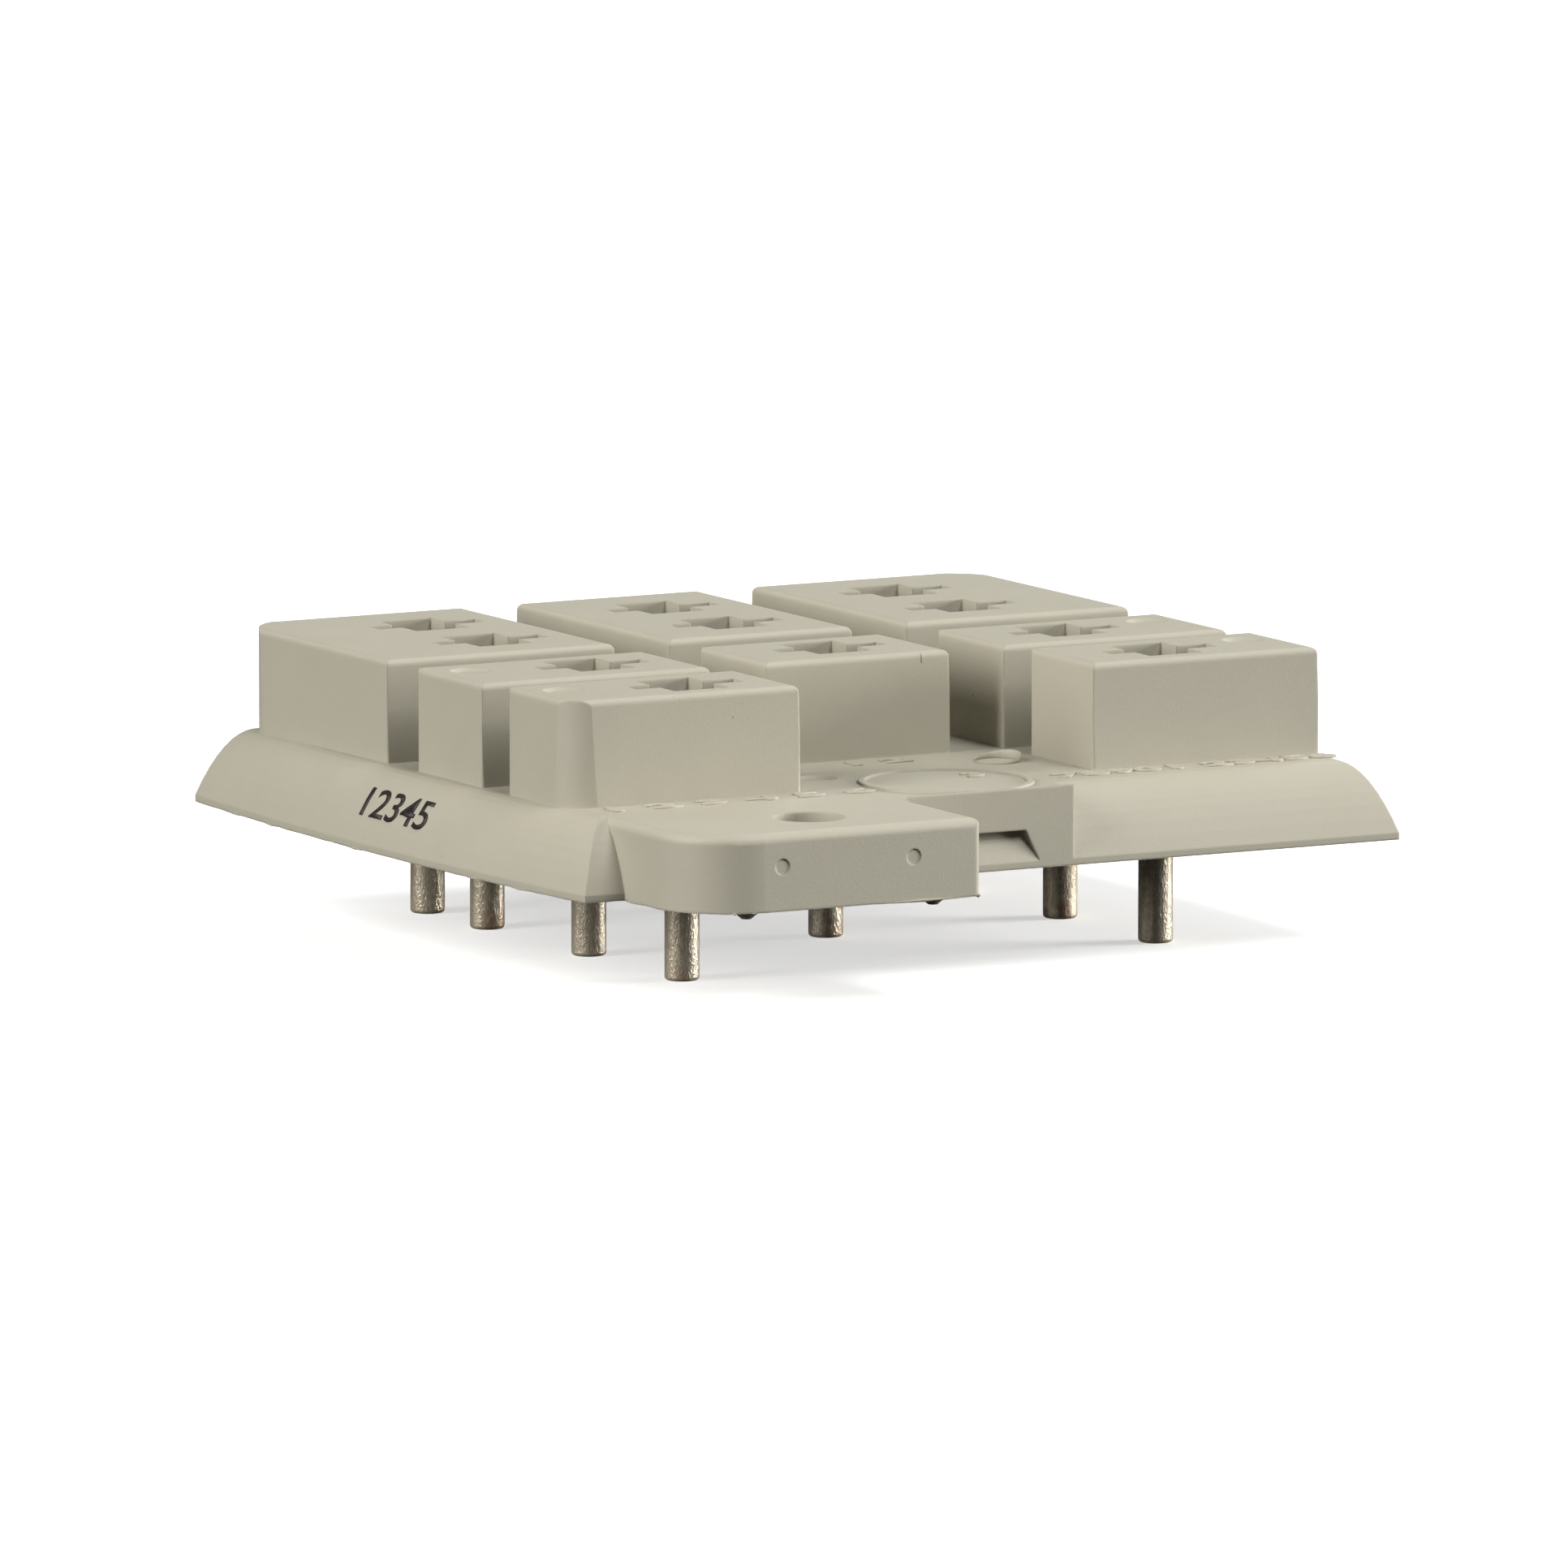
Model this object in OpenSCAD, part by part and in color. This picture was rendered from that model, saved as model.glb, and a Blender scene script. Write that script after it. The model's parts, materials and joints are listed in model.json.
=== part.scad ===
// PCB relay socket for a square-base relay with eleven flat blades.
// Z = 0 is the underside of the moulding, the face that sits on the board, and X = Y = 0
// is the centre of its base. The solder pins reach down from it.

/* [Base plate] */
// Width of the base plate at its corners, across the three columns
base_w = 41.1; // [38:0.1:48]
// Depth of the base plate, along the columns
base_d = 36.7; // [34:0.1:44]
// Thickness of the base plate
base_h = 3.45; // [3:0.05:5]
// Height of the upright foot below the bevel
bevel_foot = 0.3; // [0.2:0.05:1]
// How far the bevel reaches in from the foot to the top of the plate
bevel_reach = 2.3; // [1.8:0.1:2.6]
// Roundness of the bevel: 1 is a flat slope, 2 a parabola
bevel_power = 2.1; // [1.2:0.1:2.6]
// How far the two long sides bow outwards at their middle
side_bow = 0.8; // [0.2:0.1:1.5]

/* [Towers] */
// Height of the towers above the base plate
tower_h = 4.6; // [4:0.05:7]
// How much taller the two towers of the coil row are
coil_extra_h = 0.15; // [0:0.01:0.3]
// Spacing of the three columns
column_pitch = 12; // [11.5:0.1:13]
// Width of the middle towers
mid_tower_w = 9.3; // [8.6:0.1:9.6]
// Gap between the columns
column_gap = 2.8; // [2:0.1:3.2]
// Width of the outer towers
outer_tower_w = 11.45; // [10.6:0.05:11.8]
// Front face of the rear towers
rear_front_y = 3.08; // [2.8:0.01:3.4]
// Back face of the rear towers
rear_back_y = 17.4; // [16.6:0.1:17.6]
// Front face of the third row
third_front_y = -5.8; // [-6.2:0.1:-5.4]
// Back face of the third row
third_back_y = 0.5; // [0.1:0.1:0.9]
// Front face of the fourth row, for the coil
coil_front_y = -13.9; // [-14.2:0.1:-13.6]
// Back face of the fourth row
coil_back_y = -8; // [-8.4:0.1:-7.8]
// Radius of the two big outer corners at the back
back_corner_r = 3.2; // [0.5:0.1:3.6]
// Radius of the corner that marks the coil side
coil_corner_r = 1.8; // [0.5:0.1:2.5]
// Radius of the corners at the back of the small towers
small_corner_r = 0.9; // [0.4:0.1:1.2]
// Radius along all the other edges
edge_r = 0.28; // [0.1:0.02:0.4]
// Draft of the tower walls, in degrees
draft = 1; // [0.25:0.25:2]

/* [Contact positions] */
// Solder pins of the first row
pin_row_1 = 12.24; // [12:0.01:12.5]
// Solder pins of the second row
pin_row_2 = 6.59; // [6.4:0.01:6.8]
// Solder pins of the third row
pin_row_3 = -2.91; // [-3.1:0.01:-2.8]
// Solder pins of the fourth row
pin_row_4 = -11.51; // [-11.7:0.01:-11.4]
// How far the first row's pins stand in front of their blade slots
first_offset = 0.8; // [0.4:0.05:0.8]
// How far the other rows' pins stand in front of their blade slots
pin_offset = 0.5; // [0:0.05:0.8]
// How far each blade slot stands to the right of its pin
slot_shift = 0.4; // [0:0.05:0.5]

/* [Blade openings] */
// Length of a blade slot
slot_l = 5.4; // [5.2:0.1:5.8]
// Width of a blade slot
slot_w = 1; // [0.8:0.05:1.4]
// Width of the spring window across a slot
window_w = 2.7; // [1.8:0.1:2.8]
// How far the spring window lies to the left of the slot's middle
window_x = 0.15; // [0:0.05:0.3]
// Length of the spring window
window_l = 3.7; // [3:0.1:3.9]
// Thickness of the roof over a contact
roof_t = 1.3; // [1:0.1:1.8]
// Width of a contact cavity
cavity_w = 6; // [5.8:0.1:6.4]
// Depth of a contact cavity, front to back
cavity_d = 4.2; // [4:0.1:4.4]

/* [Contact clips] */
// Thickness of the spring sheet
sheet_t = 0.4; // [0.3:0.02:0.5]
// Width of the spring leaves
leaf_w = 4.6; // [4:0.1:5]
// Width of the clip's foot
foot_w = 6.6; // [6.2:0.1:6.8]
// Depth of the clip's foot, front to back
foot_d = 4.8; // [4.6:0.1:4.9]
// Gap between the spring leaves where they grip a blade
grip_gap = 0.4; // [0.2:0.05:0.6]
// Height above the foot where the leaves turn inwards
leaf_bend_h = 1.9; // [1.4:0.1:2.4]
// Height of the grip above the foot
grip_h = 4.2; // [3.6:0.1:4.4]
// Height of the leaves above the foot
leaf_h = 5.2; // [4.9:0.1:5.4]
// How far the leaf tips flare outwards
leaf_flare = 0.7; // [0.3:0.1:1]
// Room between the leaves and the cavity wall
leaf_clear = 0.1; // [0.05:0.05:0.15]
// Room round the foot in its pocket
foot_clear = 0.1; // [0.05:0.05:0.15]
// Depth of the foot's pocket in the underside
pocket_h = 0.9; // [0.8:0.05:1.2]

/* [Solder pins] */
// Diameter of a solder pin
pin_d = 1.55; // [1.3:0.05:1.8]
// Length of a pin below the base
pin_l = 4.85; // [3:0.05:6]
// Radius of the pin's end
pin_end_r = 0.16; // [0.05:0.01:0.3]
// Diameter of the pin's collar
collar_d = 2.2; // [1.9:0.1:2.6]
// Thickness of the pin's collar
collar_h = 0.3; // [0.2:0.05:0.35]
// Diameter of the tenon that is staked through the foot
tenon_d = 1.1; // [1:0.05:1.15]
// Diameter of the staked head
head_d = 1.4; // [1.3:0.05:1.4]
// Height of the staked head
head_h = 0.3; // [0.2:0.05:0.4]
// Running room round the tenon
tenon_clear = 0.03; // [0.02:0.01:0.05]

/* [Mounting ears] */
// Width of an ear
ear_w = 14.3; // [13:0.1:15]
// Reach of an ear beyond the base plate
ear_reach = 6.32; // [6:0.02:7.2]
// Distance of the ear's outer side from the base plate's corner
ear_inset = 1.95; // [1.8:0.05:2.4]
// Radius of the ear's outer corner
ear_corner_r = 3.5; // [2:0.1:4]
// Radius along the ear's top edge
ear_edge_r = 0.45; // [0.1:0.05:0.6]
// Diameter of the screw hole
screw_d = 3.2; // [2.8:0.1:4]
// Screw hole from the ear's outer side
screw_x = 7.8; // [6:0.1:8]
// Screw hole from the ear's front
screw_y = 3.8; // [3:0.1:4.2]
// Diameter of the nubs below an ear
nub_d = 1.3; // [0.8:0.1:1.6]
// Height of the nubs below an ear
nub_h = 0.35; // [0.2:0.05:0.6]
// First nub from the ear's outer side
nub_out_x = 3.1; // [2:0.1:3.6]
// Second nub from the ear's inner side
nub_in_x = 1.9; // [1.4:0.1:3.2]
// Diameter of the two pin marks on an ear's front
dent_d = 0.7; // [0.4:0.05:1]
// Depth of the pin marks on an ear's front
dent_h = 0.05; // [0.03:0.01:0.2]
// First pin mark from the ear's outer side
dent_out_x = 4.4; // [3.6:0.05:4.8]
// Second pin mark from the ear's inner side
dent_in_x = 3.35; // [3:0.05:4.4]
// Height of the pin marks above the underside
dent_z = 1.95; // [1.4:0.05:2.4]

/* [Retainer notches] */
// Width of the upright block beside an ear
block_w = 8.25; // [7.8:0.05:8.6]
// Width of a retainer notch at the underside
notch_w = 5.1; // [4.4:0.1:6]
// Width of a retainer notch at its top
notch_top_w = 3.4; // [2.6:0.1:4]
// Height of a retainer notch
notch_h = 1.72; // [1.2:0.02:2]
// Depth of a retainer notch
notch_deep = 3.6; // [1.4:0.1:4.5]

/* [Mould marks] */
// Outer diameter of the raised ring in the front bay
ring_d = 7.8; // [7:0.1:8]
// Width of the raised ring
ring_w = 0.3; // [0.2:0.05:0.5]
// Height of the raised lines
line_h = 0.12; // [0.06:0.02:0.2]
// Diameter of the dished ejector marks
ejector_d = 1.9; // [1.5:0.1:2.2]
// Depth of the ejector marks
ejector_h = 0.14; // [0.06:0.01:0.2]
// How far the sides of an ejector mark slope in
ejector_slope = 0.3; // [0.1:0.05:0.5]
// Ejector marks on the small outer towers, from the tower's outer face
ejector_x = 1.7; // [1.5:0.1:2.2]
// Ejector marks on the small outer towers, behind their slots
ejector_y = 0.8; // [0:0.1:0.9]
// Ejector mark on the plate, to the left of the middle
plate_mark_x = 4.5; // [4:0.1:5]
// Ejector mark on the plate, in front of the middle
plate_mark_y = 10.2; // [9.6:0.1:10.8]

/* [Hidden] */
eps = 0.01;
top_z = base_h + tower_h;
coil_z = top_z + coil_extra_h;
cavity_top = top_z - roof_t;
pin_rows = [pin_row_1, pin_row_2, pin_row_3, pin_row_4];
offsets = [first_offset, pin_offset, pin_offset, pin_offset];
slot_rows = pin_rows + offsets;
row_tops = [top_z, top_z, top_z, coil_z];
columns = [-column_pitch, 0, column_pitch];
// Columns are l, m and r. The fourth row has no middle contact.
contact_places = [for (row = [0 : 3], col = [0 : 2]) if (row < 3 || col != 1) [col, row]];
mid_x = mid_tower_w / 2;
outer_in_x = mid_x + column_gap;
outer_out_x = outer_in_x + outer_tower_w;
ear_out_x = base_w / 2 - ear_inset;
ear_in_x = ear_out_x - ear_w;
ear_front_y = base_d / 2 + ear_reach;
block_x = ear_in_x - block_w / 2;
bow_r = (pow(base_d / 2, 2) + pow(side_bow, 2)) / (2 * side_bow);
foot_z = pocket_h - sheet_t;
plate_edge = 4;

// Points of the convex bevel, as [inset, height] from the lower edge.
function bevel_points(steps = 9) = concat(
    [[0, 0]],
    [for (i = [0 : steps])
        let (u = i / steps)
        [bevel_reach * u, bevel_foot + (base_h - bevel_foot) * (1 - pow(1 - u, bevel_power))]]
);

// Half outline of a tower: a drafted wall with a rounded top edge, from the centre out.
function wall_points(half, low, high, steps = 4) =
    let (lean = (high - low) * tan(draft))
    concat(
        [[half + lean, low]],
        [for (i = [0 : steps])
            let (a = 90 * i / steps)
            [half - edge_r + edge_r * cos(a), high - edge_r + edge_r * sin(a)]]
    );

function mirrored(points) = [for (i = [len(points) - 1 : -1 : 0]) [-points[i][0], points[i][1]]];

// A rectangle with its own radius at each corner: back left, back right, front right, front left.
module cornered(x0, x1, y0, y1, r) {
    corners = [[x0, y1, 1, -1], [x1, y1, -1, -1], [x1, y0, -1, 1], [x0, y0, 1, 1]];
    difference() {
        translate([x0, y0]) square([x1 - x0, y1 - y0]);
        for (i = [0 : 3])
            translate([corners[i][0], corners[i][1]])
                scale([corners[i][2], corners[i][3]])
                    difference() {
                        translate([-1, -1]) square(r[i] + 1);
                        translate([r[i], r[i]]) circle(r = r[i], $fn = 48);
                    }
    }
}

// A profile drawn in X and Z, drawn out along Y between two faces.
module along_y(y0, y1) {
    translate([0, y1, 0]) rotate([90, 0, 0]) linear_extrude(y1 - y0) children();
}

// A profile drawn in Y and Z, drawn out along X between two faces.
module along_x(x0, x1) {
    translate([x0, 0, 0]) rotate([90, 0, 90]) linear_extrude(x1 - x0) children();
}

// One bowed side of the base plate: the rim of a very wide disc with the bevel round it.
module bowed_side() {
    rim = [for (p = bevel_points()) [bow_r - p[0], p[1]]];
    inner = bow_r - base_w - 2 * side_bow - plate_edge;
    translate([base_w / 2 + side_bow - bow_r, 0, 0])
        rotate_extrude($fn = 720)
            polygon(concat([[inner, 0]], rim, [[inner, base_h]]));
}

module base_plate() {
    slope = bevel_points();
    front = [for (p = slope) [base_d / 2 - p[0], p[1]]];
    intersection() {
        along_x(-base_w / 2 - plate_edge, base_w / 2 + plate_edge)
            polygon(concat(front, mirrored(front)));
        bowed_side();
        mirror([1, 0, 0]) bowed_side();
    }
}

// What a rounded edge takes away: the edge at the origin, the solid to its left and below.
module edge_waste(r) {
    difference() {
        translate([-r, -r]) square(r + 1);
        translate([-r, -r]) circle(r = r, $fn = 48);
    }
}

// The ear's plate, rounded along its top edge.
module ear_plate() {
    back = -base_d / 2 + plate_edge;
    turn_x = -ear_out_x + ear_corner_r;
    turn_y = -ear_front_y + ear_corner_r;
    difference() {
        linear_extrude(base_h)
            cornered(-ear_out_x, -ear_in_x, -ear_front_y, back, [0, 0, edge_r, ear_corner_r]);
        along_x(turn_x, -ear_in_x + 1)
            translate([-ear_front_y, base_h]) mirror([1, 0]) edge_waste(ear_edge_r);
        along_y(turn_y, back + 1)
            translate([-ear_out_x, base_h]) mirror([1, 0]) edge_waste(ear_edge_r);
        along_y(-ear_front_y - 1, -base_d / 2)
            translate([-ear_in_x, base_h]) edge_waste(ear_edge_r);
        intersection() {
            translate([turn_x, turn_y, base_h])
                rotate_extrude($fn = 96) translate([ear_corner_r, 0]) edge_waste(ear_edge_r);
            translate([turn_x - 2 * ear_corner_r, turn_y - 2 * ear_corner_r, 0])
                cube([2 * ear_corner_r, 2 * ear_corner_r, 2 * base_h]);
        }
    }
}

// The front ear and the upright block beside it. The back has the same, turned half round.
module ear_and_block() {
    difference() {
        union() {
            ear_plate();
            translate([-ear_in_x - eps, -base_d / 2, 0])
                cube([block_w + eps, plate_edge, base_h]);
            for (x = [-ear_out_x + nub_out_x, -ear_in_x - nub_in_x])
                translate([x, -ear_front_y + nub_d / 2 + edge_r, -nub_h])
                    cylinder(d1 = nub_d / 3, d2 = nub_d, h = nub_h + eps, $fn = 32);
        }
        translate([-ear_out_x + screw_x, -ear_front_y + screw_y, -1])
            cylinder(d = screw_d, h = base_h + 2, $fn = 64);
        for (x = [-ear_out_x + dent_out_x, -ear_in_x - dent_in_x])
            translate([x, -ear_front_y - 1, dent_z])
                rotate([-90, 0, 0])
                    cylinder(d = dent_d, h = 1 + dent_h, $fn = 32);
        along_y(-base_d / 2 - 1, -base_d / 2 + notch_deep)
            translate([-block_x, 0])
                polygon([[-notch_w / 2, -1], [notch_w / 2, -1], [notch_w / 2, 0],
                    [notch_top_w / 2, notch_h], [-notch_top_w / 2, notch_h], [-notch_w / 2, 0]]);
    }
}

// One tower: two drafted outlines with rounded tops, crossed, inside its rounded plan.
module tower(x0, x1, y0, y1, r, high = top_z) {
    sunk = base_h / 2;
    lean = (high - sunk) * tan(draft);
    across = wall_points((x1 - x0) / 2, sunk, high);
    along = wall_points((y1 - y0) / 2, sunk, high);
    intersection() {
        along_y(y0 - 1, y1 + 1)
            translate([(x0 + x1) / 2, 0]) polygon(concat(across, mirrored(across)));
        along_x(x0 - 1, x1 + 1)
            translate([(y0 + y1) / 2, 0]) polygon(concat(along, mirrored(along)));
        translate([0, 0, sunk])
            linear_extrude(tower_h + base_h)
                cornered(x0 - lean, x1 + lean, y0 - lean, y1 + lean, r);
    }
}

module towers() {
    e = edge_r;
    s = small_corner_r;
    tower(-outer_out_x, -outer_in_x, rear_front_y, rear_back_y, [back_corner_r, e, e, e]);
    tower(-mid_x, mid_x, rear_front_y, rear_back_y, [e, e, e, e]);
    tower(outer_in_x, outer_out_x, rear_front_y, rear_back_y, [e, back_corner_r, e, e]);
    tower(-outer_out_x, -outer_in_x, third_front_y, third_back_y, [s, s, e, e]);
    tower(-mid_x, mid_x, third_front_y, third_back_y, [s, s, e, e]);
    tower(outer_in_x, outer_out_x, third_front_y, third_back_y, [s, s, e, e]);
    tower(-outer_out_x, -outer_in_x, coil_front_y, coil_back_y, [s, s, e, coil_corner_r],
        coil_z);
    tower(outer_in_x, outer_out_x, coil_front_y, coil_back_y, [s, s, e, e], coil_z);
}

// The way in for one blade and the room for its clip, centred on the slot.
module contact_way(high) {
    translate([-slot_l / 2, -slot_w / 2, 0])
        cube([slot_l, slot_w, high + 1]);
    translate([-window_x - window_w / 2, -window_l / 2, 0])
        cube([window_w, window_l, high + 1]);
    translate([-cavity_w / 2, -cavity_d / 2, -1])
        cube([cavity_w, cavity_d, cavity_top + 1]);
    translate([-foot_w / 2 - foot_clear, -foot_d / 2 - foot_clear, -1])
        cube([foot_w + 2 * foot_clear, foot_d + 2 * foot_clear, pocket_h + 1]);
}

module mould_marks() {
    translate([-block_x, -base_d / 2 + edge_r + ring_d / 2, base_h - eps])
        difference() {
            cylinder(d = ring_d, h = line_h + eps, $fn = 96);
            translate([0, 0, -1]) cylinder(d = ring_d - 2 * ring_w, h = line_h + 2, $fn = 96);
        }
    translate([-ear_in_x, -base_d / 2, base_h - eps])
        cube([block_w, ring_w, line_h + eps]);
}

// The shallow dish that an ejector pin leaves, with its rim at the origin.
module ejector_mark() {
    translate([0, 0, -ejector_h])
        cylinder(d1 = ejector_d - 2 * ejector_slope, d2 = ejector_d, h = ejector_h, $fn = 48);
    cylinder(d = ejector_d, h = 1, $fn = 48);
}

module ejector_marks() {
    x = outer_out_x - ejector_x;
    for (side = [-1, 1], row = [2, 3])
        translate([side * x, slot_rows[row] + ejector_y, row_tops[row]]) ejector_mark();
    translate([-plate_mark_x, -plate_mark_y, base_h]) ejector_mark();
}

module housing() {
    color([0.72, 0.70, 0.63])
        difference() {
            union() {
                base_plate();
                ear_and_block();
                rotate([0, 0, 180]) ear_and_block();
                towers();
                mould_marks();
            }
            for (p = contact_places)
                translate([columns[p[0]] + slot_shift, slot_rows[p[1]], 0])
                    contact_way(row_tops[p[1]]);
            ejector_marks();
        }
}

// Half of the folded spring, as the centre line of the sheet: up the wall, in to the grip, out again.
function leaf_line() =
    let (wall = (cavity_d - sheet_t) / 2 - leaf_clear)
    let (grip = (grip_gap + sheet_t) / 2)
    [[0, sheet_t / 2], [wall, sheet_t / 2], [wall, leaf_bend_h], [grip, grip_h],
        [grip + leaf_flare, leaf_h]];

// A strip of the sheet's thickness along a line of points.
function strip_normal(line, i) =
    let (a = line[max(i - 1, 0)])
    let (b = line[i])
    let (c = line[min(i + 1, len(line) - 1)])
    let (u = i == 0 ? (c - b) / norm(c - b) : (b - a) / norm(b - a))
    let (v = i == len(line) - 1 ? u : (c - b) / norm(c - b))
    let (m = [-(u + v)[1], (u + v)[0]])
    m / norm(m) / cos(acos(min(1, u * v)) / 2);

function strip(line, t) = concat(
    [for (i = [0 : len(line) - 1]) line[i] + strip_normal(line, i) * t / 2],
    [for (i = [len(line) - 1 : -1 : 0]) line[i] - strip_normal(line, i) * t / 2]
);

// A folded sheet receptacle: a foot that seats in the pocket and two leaves that grip the blade.
module clip(offset) {
    half = strip(leaf_line(), sheet_t);
    color([0.78, 0.74, 0.66])
        translate([0, 0, foot_z])
            difference() {
                union() {
                    translate([-foot_w / 2, -foot_d / 2, 0]) cube([foot_w, foot_d, sheet_t]);
                    along_x(-leaf_w / 2, leaf_w / 2) polygon(half);
                    along_x(-leaf_w / 2, leaf_w / 2) mirror([1, 0]) polygon(half);
                }
                translate([-slot_shift, -offset, -1])
                    cylinder(d = tenon_d + 2 * tenon_clear, h = sheet_t + 2, $fn = 48);
            }
}

// A round solder pin with its collar below the clip's foot and its staked head above.
module pin() {
    r = pin_d / 2;
    end = [for (i = [0 : 4])
        let (a = -90 + 22.5 * i)
        [r - pin_end_r + pin_end_r * cos(a), -pin_l + pin_end_r + pin_end_r * sin(a)]];
    color([0.70, 0.68, 0.63])
        rotate_extrude($fn = 64)
            polygon(concat(
                [[0, -pin_l]],
                end,
                [[r, foot_z - collar_h], [collar_d / 2, foot_z - collar_h],
                    [collar_d / 2, foot_z], [tenon_d / 2, foot_z],
                    [tenon_d / 2, pocket_h], [head_d / 2, pocket_h],
                    [head_d / 2, pocket_h + head_h / 2], [head_d / 3, pocket_h + head_h],
                    [0, pocket_h + head_h]]
            ));
}

module clip_at(col, row) {
    translate([columns[col] + slot_shift, slot_rows[row], 0]) clip(offsets[row]);
}

module pin_at(col, row) {
    translate([columns[col], pin_rows[row], 0]) pin();
}

housing();
clip_at(0, 0);  // clip_l1
clip_at(0, 1);  // clip_l2
clip_at(0, 2);  // clip_l3
clip_at(0, 3);  // clip_l4
clip_at(1, 0);  // clip_m1
clip_at(1, 1);  // clip_m2
clip_at(1, 2);  // clip_m3
clip_at(2, 0);  // clip_r1
clip_at(2, 1);  // clip_r2
clip_at(2, 2);  // clip_r3
clip_at(2, 3);  // clip_r4
pin_at(0, 0);  // pin_l1
pin_at(0, 1);  // pin_l2
pin_at(0, 2);  // pin_l3
pin_at(0, 3);  // pin_l4
pin_at(1, 0);  // pin_m1
pin_at(1, 1);  // pin_m2
pin_at(1, 2);  // pin_m3
pin_at(2, 0);  // pin_r1
pin_at(2, 1);  // pin_r2
pin_at(2, 2);  // pin_r3
pin_at(2, 3);  // pin_r4
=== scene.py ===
"""The looks of a relay socket for circuit boards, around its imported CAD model."""

import json
import math
import random

import bmesh
import bpy
from mathutils import Matrix, Vector

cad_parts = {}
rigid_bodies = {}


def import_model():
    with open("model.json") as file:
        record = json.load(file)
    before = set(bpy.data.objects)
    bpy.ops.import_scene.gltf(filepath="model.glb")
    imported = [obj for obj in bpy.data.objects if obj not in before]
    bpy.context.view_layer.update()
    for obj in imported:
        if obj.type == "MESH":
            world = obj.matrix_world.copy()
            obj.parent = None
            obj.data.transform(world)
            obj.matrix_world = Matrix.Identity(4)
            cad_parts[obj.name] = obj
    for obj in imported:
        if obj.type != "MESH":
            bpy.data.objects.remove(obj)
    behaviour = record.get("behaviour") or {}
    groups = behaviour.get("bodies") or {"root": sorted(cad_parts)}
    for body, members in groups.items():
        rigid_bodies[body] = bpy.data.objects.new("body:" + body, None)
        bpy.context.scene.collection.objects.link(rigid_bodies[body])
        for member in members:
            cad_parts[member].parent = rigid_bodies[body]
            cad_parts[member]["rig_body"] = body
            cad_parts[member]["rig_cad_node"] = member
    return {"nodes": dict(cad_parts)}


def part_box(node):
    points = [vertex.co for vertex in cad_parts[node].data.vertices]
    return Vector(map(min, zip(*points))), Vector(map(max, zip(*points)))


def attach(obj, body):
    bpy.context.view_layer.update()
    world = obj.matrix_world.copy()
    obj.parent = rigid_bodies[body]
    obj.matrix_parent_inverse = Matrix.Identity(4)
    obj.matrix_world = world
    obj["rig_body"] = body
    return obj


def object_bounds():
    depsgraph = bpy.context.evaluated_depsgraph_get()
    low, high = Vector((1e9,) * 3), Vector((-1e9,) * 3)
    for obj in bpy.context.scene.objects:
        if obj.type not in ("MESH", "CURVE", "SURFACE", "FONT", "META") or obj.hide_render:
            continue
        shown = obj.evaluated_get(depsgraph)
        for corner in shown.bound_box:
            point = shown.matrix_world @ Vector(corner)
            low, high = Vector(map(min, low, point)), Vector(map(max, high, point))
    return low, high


bl_info = {
    "name": "Relay Socket Finish",
    "version": (1, 0, 0),
    "blender": (4, 5, 0),
    "location": "View3D > Sidebar > Relay Socket",
    "description": "Gives the relay socket its moulded plastic, tinned pins, marks and studio",
    "category": "Object",
}

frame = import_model()
MM = 0.001
CAD_LOW, CAD_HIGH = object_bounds()
HOUSING_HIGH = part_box("housing")[1]
# The plate's top face, in millimetres.
PLATE_TOP = 3.45
# Points closer than this are welded, in metres.
WELD = 1e-7

SPECK = (0.10, 0.075, 0.055, 1.0)
FLECK = (0.78, 0.73, 0.60, 1.0)
SOOT = (0.12, 0.10, 0.075, 1.0)
INK = (0.022, 0.017, 0.016, 1.0)
WORN_INK = (0.12, 0.105, 0.09, 1.0)
PALE_FLOOR = (0.93, 0.93, 0.925, 1.0)


# ---------------------------------------------------------------- settings


class SocketPlasticSettings(bpy.types.PropertyGroup):
    """Colours and textures of the moulded plastic"""

    colour: bpy.props.FloatVectorProperty(
        name="Colour",
        description="Warm light grey of the moulding",
        subtype="COLOR",
        size=3,
        min=0.0,
        max=1.0,
        default=(0.375, 0.354, 0.286),
    )
    cloud_size: bpy.props.FloatProperty(
        name="Cloud size",
        description="Size of the faint flow clouds in the colour",
        subtype="DISTANCE",
        unit="LENGTH",
        default=3.5 * MM,
    )
    grain_size: bpy.props.FloatProperty(
        name="Grain size",
        description="Size of the fine surface grain",
        subtype="DISTANCE",
        unit="LENGTH",
        default=0.11 * MM,
    )
    speck_spacing: bpy.props.FloatProperty(
        name="Speck spacing",
        description="Spacing of the cells that may hold a dark speck",
        subtype="DISTANCE",
        unit="LENGTH",
        default=1.5 * MM,
    )
    edge_radius: bpy.props.FloatProperty(
        name="Edge radius",
        description="Softness of the moulding's sharp edges",
        subtype="DISTANCE",
        unit="LENGTH",
        default=0.12 * MM,
    )
    roughness: bpy.props.FloatProperty(
        name="Roughness",
        description="Mean roughness of the plastic",
        subtype="FACTOR",
        min=0.0,
        max=1.0,
        default=0.56,
    )


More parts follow.
